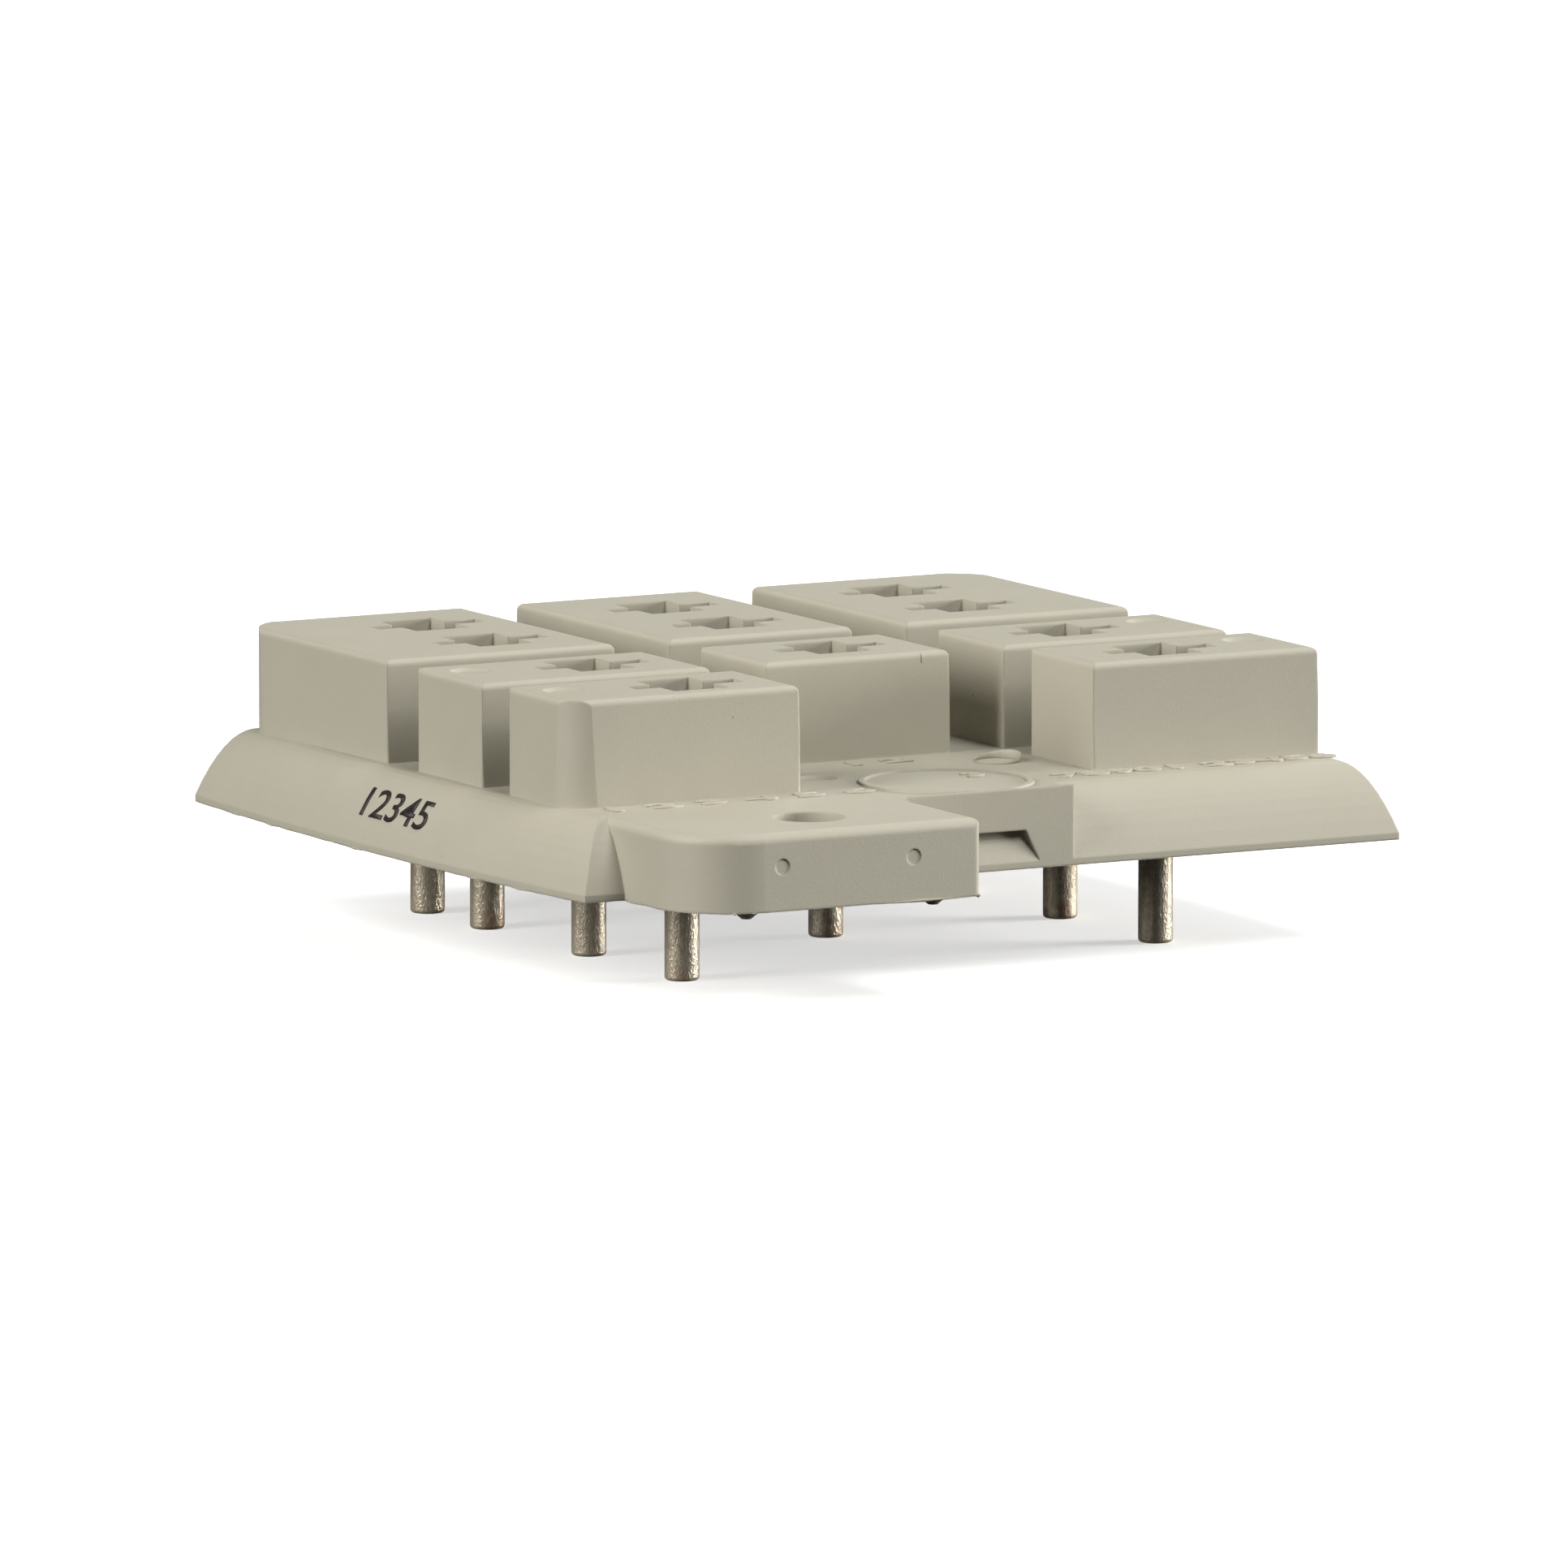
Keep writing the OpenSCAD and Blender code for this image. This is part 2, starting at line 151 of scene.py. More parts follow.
class SocketMetalSettings(bpy.types.PropertyGroup):
    """Colours of the solder pins and the contact clips"""

    tin: bpy.props.FloatVectorProperty(
        name="Tin",
        description="Dull tinned skin of the pins",
        subtype="COLOR",
        size=3,
        min=0.0,
        max=1.0,
        default=(0.72, 0.63, 0.48),
    )
    # Streaks on the pins that are partly tarnish and partly a painted reflection of dark
    # surroundings.
    tarnish_and_painted_reflection: bpy.props.FloatVectorProperty(
        name="Tarnish",
        description="Darker streaks along the pins",
        subtype="COLOR",
        size=3,
        min=0.0,
        max=1.0,
        default=(0.42, 0.35, 0.25),
    )
    copper: bpy.props.FloatVectorProperty(
        name="Copper",
        description="Bare wire that shows through near the cut ends",
        subtype="COLOR",
        size=3,
        min=0.0,
        max=1.0,
        default=(0.36, 0.20, 0.115),
    )
    spring: bpy.props.FloatVectorProperty(
        name="Spring",
        description="Tinned bronze of the contact clips",
        subtype="COLOR",
        size=3,
        min=0.0,
        max=1.0,
        default=(0.62, 0.56, 0.45),
    )


class SocketMarkSettings(bpy.types.PropertyGroup):
    """Plain numbers and moulding flash"""

    ink_digits: bpy.props.StringProperty(
        name="Ink digits",
        description="Plain digits printed on the left bevel",
        default="12345",
    )
    ink_height: bpy.props.FloatProperty(
        name="Ink height",
        description="Height of the printed digits",
        subtype="DISTANCE",
        unit="LENGTH",
        default=1.4 * MM,
    )
    ink_length: bpy.props.FloatProperty(
        name="Ink length",
        description="Length of the printed line",
        subtype="DISTANCE",
        unit="LENGTH",
        default=6.0 * MM,
    )
    digit_height: bpy.props.FloatProperty(
        name="Raised digit height",
        description="Height of the small raised digits on the plate",
        subtype="DISTANCE",
        unit="LENGTH",
        default=1.15 * MM,
    )
    digit_relief: bpy.props.FloatProperty(
        name="Raised digit relief",
        description="How far the small digits stand proud",
        subtype="DISTANCE",
        unit="LENGTH",
        default=0.09 * MM,
    )
    flash_radius: bpy.props.FloatProperty(
        name="Flash radius",
        description="Mean radius of the ragged flash along the parting edges",
        subtype="DISTANCE",
        unit="LENGTH",
        default=0.028 * MM,
    )


class SocketStageSettings(bpy.types.PropertyGroup):
    """Camera, floor and lights"""

    azimuth: bpy.props.FloatProperty(
        name="Azimuth",
        description="Camera's angle round the socket, 0 looks along +Y",
        subtype="ANGLE",
        default=math.radians(-28.92),
    )
    elevation: bpy.props.FloatProperty(
        name="Elevation",
        description="Camera's angle above the horizon",
        subtype="ANGLE",
        default=math.radians(7.94),
    )
    distance: bpy.props.FloatProperty(
        name="Distance",
        description="Distance from the camera to the aim point",
        subtype="DISTANCE",
        unit="LENGTH",
        default=1.145,
    )
    lens: bpy.props.FloatProperty(
        name="Lens",
        description="Focal length on a 36 mm sensor, in millimetres",
        default=590.6,
    )
    aim: bpy.props.FloatVectorProperty(
        name="Aim",
        description="Point on the socket that the framing starts from",
        subtype="TRANSLATION",
        size=3,
        default=(-0.23 * MM, -2.91 * MM, 0.0),
    )
    aim_right: bpy.props.FloatProperty(
        name="Aim right",
        description="How far the camera is moved to its own right",
        subtype="DISTANCE",
        unit="LENGTH",
        default=-1.654 * MM,
    )
    aim_up: bpy.props.FloatProperty(
        name="Aim up",
        description="How far the camera is moved upwards",
        subtype="DISTANCE",
        unit="LENGTH",
        default=1.98 * MM,
    )
    floor_size: bpy.props.FloatProperty(
        name="Floor size",
        description="Side of the pale floor",
        subtype="DISTANCE",
        unit="LENGTH",
        default=6.0,
    )


# ---------------------------------------------------------------- shader maths


class Wire:
    """A shader socket that takes part in expressions. Each sign adds its Math node."""

    def __init__(self, recipe, socket):
        self.recipe = recipe
        self.socket = socket

    def maths(self, operation, *values):
        """A Math node on these values."""
        places = dict(enumerate(values))
        return self.recipe.add("ShaderNodeMath", {"operation": operation}, places)

    def __add__(self, other):
        return self.maths("ADD", self, other)

    def __radd__(self, other):
        return self.maths("ADD", other, self)

    def __sub__(self, other):
        return self.maths("SUBTRACT", self, other)

    def __rsub__(self, other):
        return self.maths("SUBTRACT", other, self)

    def __mul__(self, other):
        return self.maths("MULTIPLY", self, other)

    def __rmul__(self, other):
        return self.maths("MULTIPLY", other, self)

    def __abs__(self):
        return self.maths("ABSOLUTE", self)

    def at_most(self, other):
        """The smaller of the two."""
        return self.maths("MINIMUM", self, other)

    def at_least(self, other):
        """The larger of the two."""
        return self.maths("MAXIMUM", self, other)

    def above(self, other):
        """1 where this is above the other, 0 elsewhere."""
        return self.maths("GREATER_THAN", self, other)

    def ramp(self, low, high):
        """A smooth step: 0 at low and below, 1 at high and above. High may be the smaller."""
        return self.recipe.add(
            "ShaderNodeMapRange",
            {"interpolation_type": "SMOOTHSTEP"},
            {"Value": self, "From Min": low, "From Max": high, "To Min": 0.0, "To Max": 1.0},
        )


class Recipe:
    """A material's node tree, with one way to add any node to it."""

    def __init__(self, name):
        self.material = bpy.data.materials.new(name)
        self.material.use_nodes = True
        self.tree = self.material.node_tree
        self.tree.nodes.clear()
        self.place = self.add("ShaderNodeTexCoord", output="Object")

    def add(self, kind, settings=None, values=None, output=0):
        """One node: its settings first, then the values or links of its sockets."""
        node = self.tree.nodes.new(kind)
        for key, value in (settings or {}).items():
            setattr(node, key, value)
        for key, value in (values or {}).items():
            socket = node.inputs[key]
            if isinstance(value, Wire):
                self.tree.links.new(value.socket, socket)
            else:
                socket.default_value = value
        return Wire(self, node.outputs[output])

    def noise(self, size, detail=2.0, place=None, rough=0.5):
        """Noise whose lumps are about this many metres across, from 0 to 1."""
        values = {
            "Vector": place or self.place,
            "Scale": 1.0 / size,
            "Detail": detail,
            "Roughness": rough,
        }
        return self.add("ShaderNodeTexNoise", {}, values, "Fac")

    def stretch(self, x, y, z):
        """The object's coordinates, scaled along its axes."""
        return self.add("ShaderNodeMapping", {}, {"Vector": self.place, "Scale": (x, y, z)})

    def axes(self):
        """The object's coordinates as three numbers, in millimetres."""
        split = self.tree.nodes.new("ShaderNodeSeparateXYZ")
        self.tree.links.new(self.place.socket, split.inputs[0])
        return [Wire(self, split.outputs[i]) * (1.0 / MM) for i in range(3)]

    def mix(self, factor, first, second):
        """Two colours mixed."""
        return self.add("ShaderNodeMix", {"data_type": "RGBA"}, {0: factor, 6: first, 7: second}, 2)

    def shade(self, factor, colour):
        """A colour made darker or lighter by a number."""
        grey = self.add("ShaderNodeCombineColor", {}, {0: factor, 1: factor, 2: factor})
        settings = {"data_type": "RGBA", "blend_type": "MULTIPLY"}
        return self.add("ShaderNodeMix", settings, {0: 1.0, 6: colour, 7: grey}, 2)

    def bump(self, height, distance, strength=1.0, normal=None):
        """A Bump node for a height from 0 to 1, on another normal where one is given."""
        values = {"Height": height, "Distance": distance, "Strength": strength}
        if normal:
            values["Normal"] = normal
        return self.add("ShaderNodeBump", {}, values, "Normal")

    def finish(self, values):
        """The Principled shader that ends the tree."""
        shader = self.add("ShaderNodeBsdfPrincipled", {}, values, "BSDF")
        end = self.tree.nodes.new("ShaderNodeOutputMaterial")
        self.tree.links.new(shader.socket, end.inputs["Surface"])
        return self.material


def opaque(colour):
    """A colour with full alpha."""
    return (*colour, 1.0)


def middle(node):
    """The middle of a CAD node's box."""
    low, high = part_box(node)
    return (low + high) / 2


# ---------------------------------------------------------------- finishes


def hair_mark(recipe):
    """A fine dark hair high on the middle tower's front wall: 1 on it, 0 off it."""
    half_width = 0.045
    half_length = 0.26
    tower = middle("clip_m3") / MM
    front = tower.y - 3.29
    across = tower.x + 2.85
    level = HOUSING_HIGH.z / MM - 0.42
    x, y, z = recipe.axes()
    side = abs(x - across).ramp(half_width, half_width * 0.4)
    run = abs(z - level).ramp(half_length, half_length * 0.8)
    on_wall = y.ramp(front, front - 0.08) * y.ramp(front - 0.5, front - 0.3)
    return side * run * on_wall


def plastic_finish(plastic):
    """Fine matte moulded plastic with faint clouds, grain and a few dark specks."""
    recipe = Recipe("moulded_plastic")
    cloud = recipe.noise(plastic.cloud_size, 3.0)
    grain = recipe.noise(plastic.grain_size, 3.0, rough=0.6)
    fine = recipe.noise(plastic.grain_size * 0.45, 1.0)
    tone = (cloud - 0.5) * 0.07 + (grain - 0.5) * 0.06 + 1.0
    colour = recipe.shade(tone, opaque(plastic.colour))

    cells = {"Vector": recipe.place, "Scale": 1.0 / plastic.speck_spacing}
    near = recipe.add("ShaderNodeTexVoronoi", {}, cells, "Distance")
    draw = recipe.add("ShaderNodeTexVoronoi", {}, cells, "Color")
    chance = recipe.add("ShaderNodeSeparateColor", {}, {"Color": draw}, "Red")
    size = recipe.add("ShaderNodeSeparateColor", {}, {"Color": draw}, "Green")
    speck = near.ramp(0.038, 0.02) * chance.above(0.80) * (size * 0.7 + 0.15)

    marks = speck.at_least(hair_mark(recipe) * 0.8)
    colour = recipe.mix(marks, colour, SPECK)

    height = grain * 0.7 + fine * 0.3
    edge = recipe.add("ShaderNodeBevel", {"samples": 4}, {"Radius": plastic.edge_radius}, "Normal")
    return recipe.finish(
        {
            "Base Color": colour,
            "Roughness": (grain - 0.5) * 0.12 + plastic.roughness,
            "Specular IOR Level": 0.38,
            "Subsurface Weight": 0.12,
            "Subsurface Radius": (1.0, 0.85, 0.6),
            "Subsurface Scale": 0.35 * MM,
            "Normal": recipe.bump(height, 0.016 * MM, 0.7, edge),
        }
    )


def pin_finish(metal):
    """Dull tinned wire: drawn streaks, darker bands that are partly tarnish and partly a painted
    reflection of dark surroundings, a crinkled skin and bare copper near the cut end.
    """
    recipe = Recipe("tinned_wire")
    long = recipe.stretch(1.0, 1.0, 0.06)
    streaks = recipe.noise(0.17 * MM, 3.0, long, 0.6)
    bands = recipe.noise(0.5 * MM, 1.0, long)
    blotch = recipe.noise(0.45 * MM, 3.0)
    crinkle = recipe.add(
        "ShaderNodeTexVoronoi",
        {"feature": "DISTANCE_TO_EDGE"},
        {"Vector": recipe.stretch(1.0, 1.0, 0.4), "Scale": 1.0 / (0.13 * MM)},
        "Distance",
    )
    crease = crinkle.ramp(0.2, 0.0)
    wrinkle = recipe.noise(0.11 * MM, 4.0, recipe.stretch(1.0, 1.0, 0.55), 0.65)
    grain = recipe.noise(0.04 * MM, 2.0)
    # Darker brown streaks along the pins: partly tarnish, partly a painted reflection of dark
    # surroundings.
    tarnish_and_painted_reflection = (streaks * 0.5 + bands * 0.8 - 0.28).ramp(0.26, 0.60)
    skin = recipe.mix(tarnish_and_painted_reflection * 0.8, opaque(metal.tin), opaque(metal.tarnish_and_painted_reflection))
    skin = recipe.mix(crease * blotch.ramp(0.40, 0.58) * 0.7, skin, FLECK)
    skin = recipe.mix((grain - 0.5) * 0.4 + 0.1, skin, SOOT)

    whose = recipe.noise(9.0 * MM, 0.0)
    depth = recipe.axes()[2] + blotch * 2.4
    tip = depth.ramp(-2.2, -3.9) * (whose.ramp(0.40, 0.62) * 0.75 + 0.25)
    side = recipe.noise(0.7 * MM, 1.0, long).ramp(0.42, 0.58)
    copper = (tip * side).at_most(0.8)
    colour = recipe.mix(copper, skin, opaque(metal.copper))

    height = streaks * 0.25 + wrinkle * 0.5 + crease * 0.15 + grain * 0.1
    return recipe.finish(
        {
            "Base Color": colour,
            "Metallic": 0.45 - tarnish_and_painted_reflection * 0.1,
            "Roughness": tarnish_and_painted_reflection * 0.18 + grain * 0.12 + 0.22,
            "Normal": recipe.bump(height, 0.045 * MM, 0.9),
        }
    )


def clip_finish(metal):
    """Rolled and tinned spring sheet."""
    recipe = Recipe("spring_sheet")
    rolled = recipe.noise(0.2 * MM, 2.0, recipe.stretch(0.1, 1.0, 1.0))
    blotch = recipe.noise(0.9 * MM, 3.0)
    tone = (rolled - 0.5) * 0.25 + (blotch - 0.5) * 0.3 + 0.95
    return recipe.finish(
        {
            "Base Color": recipe.shade(tone, opaque(metal.spring)),
            "Metallic": 1.0,
            "Roughness": blotch * 0.2 + 0.24,
            "Normal": recipe.bump(rolled, 0.01 * MM, 0.5),
        }
    )


def ink_finish():
    """Dark printing ink with thin worn spots."""
    recipe = Recipe("printing_ink")
    worn = recipe.noise(0.12 * MM, 3.0).ramp(0.60, 0.78)
    return recipe.finish(
        {
            "Base Color": recipe.mix(worn * 0.5, INK, WORN_INK),
            "Roughness": worn * 0.2 + 0.5,
            "Specular IOR Level": 0.3,
        }
    )


def floor_finish():
    """A plain pale floor."""
    recipe = Recipe("pale_floor")
    soft = recipe.noise(0.4, 2.0)
    return recipe.finish(
        {
            "Base Color": recipe.shade((soft - 0.5) * 0.01 + 0.995, PALE_FLOOR),
            "Roughness": 0.85,
            "Specular IOR Level": 0.1,
            "Emission Color": (1.0, 1.0, 0.99, 1.0),
            "Emission Strength": 0.55,
        }
    )


# ---------------------------------------------------------------- modelling helpers


def pick(piece):
    """Leave only this piece selected and active."""
    bpy.ops.object.select_all(action="DESELECT")
    piece.select_set(True)
    bpy.context.view_layer.objects.active = piece
    return piece


def apply_all(piece):
    """Apply every modifier of a piece, in order."""
    pick(piece)
    for modifier in list(piece.modifiers):
        bpy.ops.object.modifier_apply(modifier=modifier.name)


def settle(piece, name, material):
    """Put the piece's place into its mesh, name it, give it its material and let it ride."""
    pick(piece)
    bpy.ops.object.transform_apply(location=True, rotation=True, scale=True)
    piece.name = name
    piece.data.name = name
    piece.data.materials.clear()
    piece.data.materials.append(material)
    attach(piece, "root")
    return piece


def tidy_mesh(piece):
    """Merge doubles and turn the faces outwards."""
    pick(piece)
    bpy.ops.object.mode_set(mode="EDIT")
    bpy.ops.mesh.select_all(action="SELECT")
    bpy.ops.mesh.remove_doubles(threshold=WELD)
    bpy.ops.mesh.normals_make_consistent(inside=False)
    bpy.ops.object.mode_set(mode="OBJECT")


def direction(azimuth, elevation):
    """The unit vector from the socket towards these angles, in radians."""
    flat = math.cos(elevation)
    return Vector((math.sin(azimuth) * flat, -math.cos(azimuth) * flat, math.sin(elevation)))


def moulding():
    """The housing's own plastic."""
    return frame["nodes"]["housing"].data.materials[0]


def repaint(node, material):
    """Give a CAD node its material."""
    slots = frame["nodes"][node].data.materials
    slots.clear()
    slots.append(material)


def digits_mesh(text, height, length, thickness=0.0, soften=0.0, weight=0.0, lean=0.0):
    """A line of digits as a mesh, in millimetres, centred on its middle, face up.

    Weight makes the strokes bolder, as a share of the font's size, and lean slants them.
    """
    bpy.ops.object.select_all(action="DESELECT")
    bpy.ops.object.text_add(location=(0, 0, 0))
    piece = bpy.context.object
    piece.data.body = text
    piece.data.align_x = "CENTER"
    piece.data.align_y = "CENTER"
    piece.data.extrude = thickness / 2 / height
    piece.data.bevel_depth = soften / height
    piece.data.offset = weight
    piece.data.shear = lean
    piece.data.resolution_u = 5
    bpy.ops.object.convert(target="MESH")
    bpy.context.view_layer.update()
    wide, tall = piece.dimensions.x, piece.dimensions.y
    piece.scale = (length / wide, height / tall, height)
    bpy.ops.object.transform_apply(location=False, rotation=False, scale=True)
    bpy.ops.object.origin_set(type="ORIGIN_GEOMETRY", center="BOUNDS")
    piece.location = (0, 0, 0)
    return piece


# ---------------------------------------------------------------- operators


class RELAY_SOCKET_OT_housing(bpy.types.Operator):
    """Give the moulded housing its plastic"""

    bl_idname = "relay_socket.housing"
    bl_label = "Housing plastic"
    bl_options = {"REGISTER", "UNDO"}

    def execute(self, context):
        repaint("housing", plastic_finish(context.scene.socket_plastic))
        return {"FINISHED"}


class RELAY_SOCKET_OT_clips(bpy.types.Operator):
    """Give the contact clips their spring sheet"""

    bl_idname = "relay_socket.clips"
    bl_label = "Contact clips"
    bl_options = {"REGISTER", "UNDO"}

    def execute(self, context):
        finish = clip_finish(context.scene.socket_metal)
        for node in sorted(frame["nodes"]):
            if node.startswith("clip_"):
                repaint(node, finish)
        return {"FINISHED"}


class RELAY_SOCKET_OT_pins(bpy.types.Operator):
    """Give the solder pins their tinned wire"""

    bl_idname = "relay_socket.pins"
    bl_label = "Solder pins"
    bl_options = {"REGISTER", "UNDO"}

    def execute(self, context):
        finish = pin_finish(context.scene.socket_metal)
        for node in sorted(frame["nodes"]):
            if node.startswith("pin_"):
                repaint(node, finish)
        return {"FINISHED"}


class RELAY_SOCKET_OT_ink(bpy.types.Operator):
    """Print plain digits on the left bevel"""

    bl_idname = "relay_socket.ink"
    bl_label = "Printed digits"
    bl_options = {"REGISTER", "UNDO"}

    # The line's lower and upper edge: how far in from the left side, and at what level.
    foot = (0.42, 1.43)
    head = (1.11, 2.65)
    ahead = 1.0
    film = 0.03 * MM
    root = 0.015 * MM
    stand_off = 0.6 * MM
    weight = 0.008
    lean = 0.12

    def execute(self, context):
        marks = context.scene.socket_marks
        height, length = marks.ink_height / MM, marks.ink_length / MM
        piece = digits_mesh(marks.ink_digits, height, length, weight=self.weight, lean=self.lean)
        self.keep_one_side(piece)
        self.slice_up(piece)
        foot, head = self.on_bevel(self.foot), self.on_bevel(self.head)
        up = (head - foot).normalized()
        along = Vector((0.0, -1.0, 0.0))
        out = along.cross(up)
        turn = Matrix((along, up, out)).transposed().to_4x4()
        place = (foot + head) / 2 + out * self.stand_off
        piece.matrix_world = Matrix.Translation(place) @ turn @ Matrix.Scale(MM, 4)
        self.press_on(piece)
        settle(piece, "ink_digits", ink_finish())
        tidy_mesh(piece)
        return {"FINISHED"}

    def on_bevel(self, edge):
        """A point of the left bevel, a little ahead of the socket's middle."""
        inward, level = edge
        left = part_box("housing")[0].x
        return Vector((left + inward * MM, -self.ahead * MM, level * MM))

    def keep_one_side(self, piece):
        """Leave one layer of faces, with no doubled points."""
        pick(piece)
        bpy.ops.object.mode_set(mode="EDIT")
        mesh = bmesh.from_edit_mesh(piece.data)
        below = [face for face in mesh.faces if face.normal.z < 0]
        if len(below) < len(mesh.faces):
            bmesh.ops.delete(mesh, geom=below, context="FACES_ONLY")
        bmesh.ops.remove_doubles(mesh, verts=mesh.verts, dist=1e-4)
        bmesh.update_edit_mesh(piece.data)
        bpy.ops.object.mode_set(mode="OBJECT")

    def slice_up(self, piece, cuts=16):
        """Cut the flat digits across, so that they can follow the curve of the bevel."""
        pick(piece)
        tall = piece.dimensions.y
        bpy.ops.object.mode_set(mode="EDIT")
        for i in range(1, cuts):
            bpy.ops.mesh.select_all(action="SELECT")
            level = -tall / 2 + tall * i / cuts
            bpy.ops.mesh.bisect(plane_co=(0, level, 0), plane_no=(0, 1, 0))
        bpy.ops.object.mode_set(mode="OBJECT")

    def press_on(self, piece):
        """Press the film onto the bevel and give it its thickness."""
        wrap = piece.modifiers.new("press", "SHRINKWRAP")
        wrap.wrap_method = "PROJECT"
        wrap.wrap_mode = "ABOVE_SURFACE"
        wrap.use_project_z = True
        wrap.use_negative_direction = True
        wrap.use_positive_direction = False
        wrap.target = frame["nodes"]["housing"]
        wrap.offset = self.film / MM
        solid = piece.modifiers.new("film", "SOLIDIFY")
        solid.thickness = (self.film + self.root) / MM
        solid.offset = -1.0
        apply_all(piece)


class RELAY_SOCKET_OT_raised(bpy.types.Operator):
    """Raise small plain digits on the plate, in front of three towers"""

    bl_idname = "relay_socket.raised"
    bl_label = "Raised digits"
    bl_options = {"REGISTER", "UNDO"}

    sunk = 0.03
    # Name, digits, contact they stand by, how far right of it and in front, length, share of
    # the full height.
    rows = (
        ("digits_left", "1 2 3 4 5 6", "clip_l4", 0.7, 3.94, 13.2, 1.0),
        ("digits_right", "78901 23456", "clip_r4", -0.4, 3.99, 14.2, 1.0),
        ("digits_middle", "1 2", "clip_m3", -0.1, 4.79, 3.0, 0.9),
        ("digit_ring", "3", "clip_m3", 1.5, 10.49, 0.9, 1.0),
    )

    def execute(self, context):
        marks = context.scene.socket_marks
        thick = marks.digit_relief / MM + self.sunk
        for name, text, contact, right, ahead, length, share in self.rows:
            height = marks.digit_height / MM * share
            piece = digits_mesh(text, height, length, thick * 0.5, thick * 0.25)
            level = PLATE_TOP - self.sunk + thick / 2
            place = middle(contact)
            piece.location = (place.x + right * MM, place.y - ahead * MM, level * MM)
            piece.scale = (MM, MM, MM)
            settle(piece, name, moulding())
            tidy_mesh(piece)
        return {"FINISHED"}


class RELAY_SOCKET_OT_flash(bpy.types.Operator):
    """Grow a ragged bead of moulding flash along the lower parting edge"""

    bl_idname = "relay_socket.flash"
    bl_label = "Parting flash"
    bl_options = {"REGISTER", "UNDO"}

    # How far in from the ends of the housing its outer edge may lie.
    rim_x = 1.9 * MM
    rim_y = 6.8 * MM
    sharp_angle = 0.5
    cuts = 3
    seed = 11
    # Shares of the mean radius: thinnest stretch, how far it thickens, and the rare burrs.
    thin = 0.35
    spread = 0.9
    burr_above = 0.94
    burr = 1.6
    burr_spread = 1.2

    def execute(self, context):
        piece = self.outline()
        self.bead(piece, context.scene.socket_marks.flash_radius)
        settle(piece, "parting_flash", moulding())
        tidy_mesh(piece)
        return {"FINISHED"}

    def outline(self):
        """The outer lower edge of the housing, as loose edges of a copy."""
        pick(frame["nodes"]["housing"])
        bpy.ops.object.duplicate()
        piece = bpy.context.object
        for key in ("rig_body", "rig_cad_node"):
            if key in piece:
                del piece[key]
        bpy.ops.object.parent_clear(type="CLEAR")
        tidy_mesh(piece)
        bpy.ops.object.mode_set(mode="EDIT")
        mesh = bmesh.from_edit_mesh(piece.data)
        inner_x = HOUSING_HIGH.x - self.rim_x
        inner_y = HOUSING_HIGH.y - self.rim_y
        for edge in mesh.edges:
            low = all(abs(v.co.z) < 0.01 * MM for v in edge.verts)
            sharp = len(edge.link_faces) == 2 and edge.calc_face_angle() > self.sharp_angle
            outer = all(abs(v.co.x) > inner_x or abs(v.co.y) > inner_y for v in edge.verts)
            edge.tag = low and sharp and outer
        bmesh.ops.delete(mesh, geom=[e for e in mesh.edges if not e.tag], context="EDGES_FACES")
        bmesh.update_edit_mesh(piece.data)
        bpy.ops.object.mode_set(mode="OBJECT")
        return piece

    def bead(self, piece, radius):
        """Turn the edges into a thin bead whose thickness wanders."""
        pick(piece)
        bpy.ops.object.convert(target="CURVE")
        curve = piece.data
        curve.dimensions = "3D"
        curve.bevel_depth = radius
        curve.bevel_resolution = 1
        curve.use_fill_caps = True
        bpy.ops.object.mode_set(mode="EDIT")
        bpy.ops.curve.select_all(action="SELECT")
        bpy.ops.curve.subdivide(number_cuts=self.cuts)
        bpy.ops.object.mode_set(mode="OBJECT")
        draw = random.Random(self.seed)
        for spline in curve.splines:
            for point in spline.points:
                point.radius = self.thin + self.spread * draw.random() ** 2
                if draw.random() > self.burr_above:
                    point.radius = self.burr + self.burr_spread * draw.random()
        bpy.ops.object.convert(target="MESH")


class RELAY_SOCKET_OT_flash_ring(bpy.types.Operator):
    """Stand the thin ring of flash that an ejector pin left in the front bay"""

    bl_idname = "relay_socket.flash_ring"
    bl_label = "Ejector flash ring"
    bl_options = {"REGISTER", "UNDO"}

    # Millimetres. The ring stands right of the middle contact and in front of it.
    right = 4.67
    ahead = 7.0
    sides = 48
    radius = 1.02
    wall = 0.06
    low_rim = 0.04
    high_rim = 0.42
    high_side = Vector((0.93, 0.36, 0.0))
    steepness = 1.3
    lean = 0.10
    sunk = 0.02
    edge = 0.03

    def execute(self, context):
        bpy.ops.object.select_all(action="DESELECT")
        bpy.ops.mesh.primitive_cylinder_add(
            vertices=self.sides, radius=self.radius, depth=1.0, end_fill_type="NOTHING"
        )
        piece = bpy.context.object
        for vertex in piece.data.vertices:
            side = Vector((vertex.co.x, vertex.co.y, 0.0)).normalized().dot(self.high_side)
            rise = max(0.0, 0.5 + 0.5 * side) ** self.steepness
            if vertex.co.z > 0:
                vertex.co.z = self.low_rim + (self.high_rim - self.low_rim) * rise
                vertex.co.x += self.lean * rise
            else:
                vertex.co.z = -self.sunk
        solid = piece.modifiers.new("wall", "SOLIDIFY")
        solid.thickness = self.wall
        solid.offset = 0.0
        round_off = piece.modifiers.new("round", "BEVEL")
        round_off.width = self.edge
        round_off.segments = 2
        apply_all(piece)
        bpy.ops.object.shade_smooth_by_angle(angle=math.radians(40))
        place = middle("clip_m3")
        right, ahead = self.right * MM, self.ahead * MM
        piece.location = (place.x + right, place.y - ahead, PLATE_TOP * MM)
        piece.scale = (MM, MM, MM)
        settle(piece, "ejector_flash", moulding())
        return {"FINISHED"}


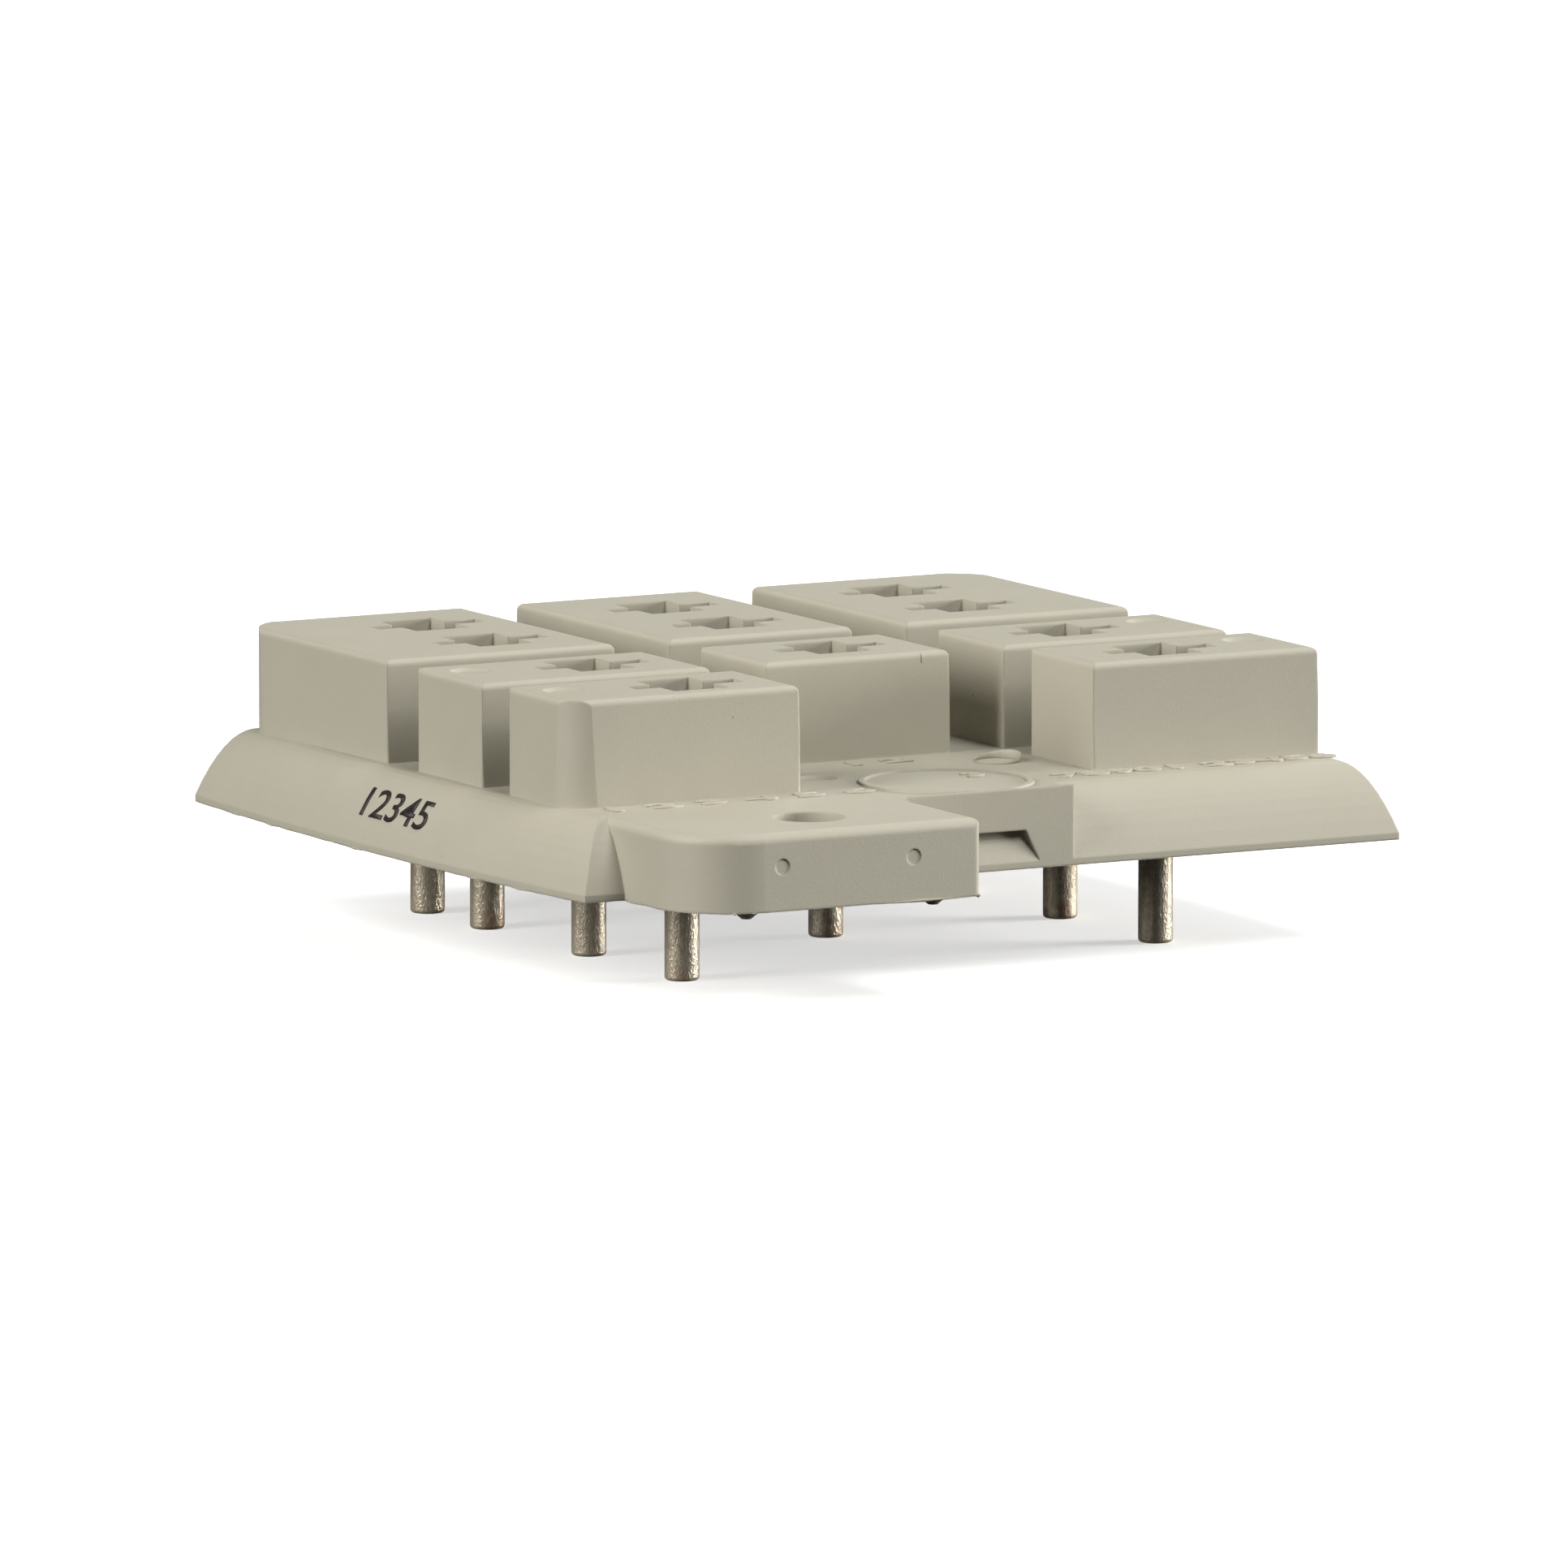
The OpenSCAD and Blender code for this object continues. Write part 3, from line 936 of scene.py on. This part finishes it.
class RELAY_SOCKET_OT_stage(bpy.types.Operator):
    """Lay the pale floor, hang the soft lights and set the camera"""

    bl_idname = "relay_socket.stage"
    bl_label = "Studio"
    bl_options = {"REGISTER", "UNDO"}

    reach = 1.4
    # Name, azimuth and elevation in degrees, width and height in metres, watts, colour.
    lamps = (
        ("left_softbox", -90, 24, 0.6, 1.1, 25.5, (1.0, 0.985, 0.955)),
        ("right_softbox", 72, 7, 0.6, 0.6, 34.0, (1.0, 0.985, 0.955)),
        ("front_softbox", 13, 49, 0.6, 0.6, 12.5, (1.0, 0.995, 0.98)),
        ("top_softbox", 30, 66, 0.6, 0.6, 4.6, (0.97, 0.99, 1.0)),
        ("rear_softbox", 130, 30, 0.6, 0.6, 3.8, (0.97, 0.99, 1.0)),
    )

    def execute(self, context):
        stage = context.scene.socket_stage
        self.floor(stage)
        self.sky(context.scene)
        for lamp in self.lamps:
            self.lamp(*lamp)
        self.camera(context.scene, stage)
        context.scene.view_settings.view_transform = "Standard"
        return {"FINISHED"}

    def floor(self, stage):
        """The pale floor under the pins' ends."""
        bpy.ops.object.select_all(action="DESELECT")
        bpy.ops.mesh.primitive_plane_add(size=stage.floor_size, location=(0, 0, CAD_LOW.z))
        piece = bpy.context.object
        piece.name = "floor"
        bpy.ops.object.transform_apply(location=True, rotation=True, scale=True)
        piece.data.materials.append(floor_finish())
        # A light table: it shines a little by itself, and throws nothing back on the socket.
        piece.visible_diffuse = False
        piece.visible_glossy = False

    def sky(self, scene):
        """A dim surround, so that recesses stay dark between the soft lights."""
        world = bpy.data.worlds.new("studio")
        world.use_nodes = True
        background = world.node_tree.nodes["Background"]
        background.inputs["Color"].default_value = (1.0, 0.99, 0.97, 1.0)
        background.inputs["Strength"].default_value = 0.03
        scene.world = world

    def lamp(self, name, azimuth, elevation, width, height, watts, colour):
        """A soft light on a dome round the socket, turned to look at it."""
        place = self.reach * direction(math.radians(azimuth), math.radians(elevation))
        bpy.ops.object.select_all(action="DESELECT")
        bpy.ops.object.light_add(type="AREA", location=place)
        piece = bpy.context.object
        piece.name = name
        piece.data.shape = "RECTANGLE"
        piece.data.size = width
        piece.data.size_y = height
        piece.data.energy = watts
        piece.data.color = colour
        piece.rotation_euler = place.to_track_quat("Z", "Y").to_euler()

    def camera(self, scene, stage):
        """The camera, aimed with a small shift to its own right and upwards."""
        back = direction(stage.azimuth, stage.elevation)
        turn = (-back).to_track_quat("-Z", "Y")
        right = turn @ Vector((1.0, 0.0, 0.0))
        up = turn @ Vector((0.0, 1.0, 0.0))
        aim = Vector(stage.aim) + right * stage.aim_right + up * stage.aim_up
        bpy.ops.object.select_all(action="DESELECT")
        bpy.ops.object.camera_add(location=aim + back * stage.distance)
        camera = bpy.context.object
        camera.rotation_mode = "QUATERNION"
        camera.rotation_quaternion = turn
        camera.data.sensor_width = 36.0
        camera.data.lens = stage.lens
        camera.data.clip_start = 0.01
        camera.data.clip_end = 20.0
        scene.camera = camera


# ---------------------------------------------------------------- panel and registration


class RELAY_SOCKET_PT_panel(bpy.types.Panel):
    """Relay socket tools"""

    bl_label = "Relay Socket"
    bl_idname = "RELAY_SOCKET_PT_panel"
    bl_space_type = "VIEW_3D"
    bl_region_type = "UI"
    bl_category = "Relay Socket"

    def draw(self, context):
        for operator in OPERATORS:
            self.layout.operator(operator.bl_idname)
        for group in SETTINGS:
            box = self.layout.box()
            owner = getattr(context.scene, group)
            for key in owner.bl_rna.properties.keys():
                if key not in ("rna_type", "name"):
                    box.prop(owner, key)


SETTINGS = {
    "socket_plastic": SocketPlasticSettings,
    "socket_metal": SocketMetalSettings,
    "socket_marks": SocketMarkSettings,
    "socket_stage": SocketStageSettings,
}
OPERATORS = (
    RELAY_SOCKET_OT_housing,
    RELAY_SOCKET_OT_clips,
    RELAY_SOCKET_OT_pins,
    RELAY_SOCKET_OT_ink,
    RELAY_SOCKET_OT_raised,
    RELAY_SOCKET_OT_flash,
    RELAY_SOCKET_OT_flash_ring,
    RELAY_SOCKET_OT_stage,
)


def register():
    for group in SETTINGS.values():
        bpy.utils.register_class(group)
    for name, group in SETTINGS.items():
        setattr(bpy.types.Scene, name, bpy.props.PointerProperty(type=group))
    for operator in OPERATORS:
        bpy.utils.register_class(operator)
    bpy.utils.register_class(RELAY_SOCKET_PT_panel)


def unregister():
    bpy.utils.unregister_class(RELAY_SOCKET_PT_panel)
    for operator in reversed(OPERATORS):
        bpy.utils.unregister_class(operator)
    for name in SETTINGS:
        delattr(bpy.types.Scene, name)
    for group in reversed(list(SETTINGS.values())):
        bpy.utils.unregister_class(group)


def main():
    """Run every operator in order."""
    register()
    bpy.ops.relay_socket.housing()
    bpy.ops.relay_socket.clips()
    bpy.ops.relay_socket.pins()
    bpy.ops.relay_socket.ink()
    bpy.ops.relay_socket.raised()
    bpy.ops.relay_socket.flash()
    bpy.ops.relay_socket.flash_ring()
    bpy.ops.relay_socket.stage()


if __name__ == "__main__":
    main()
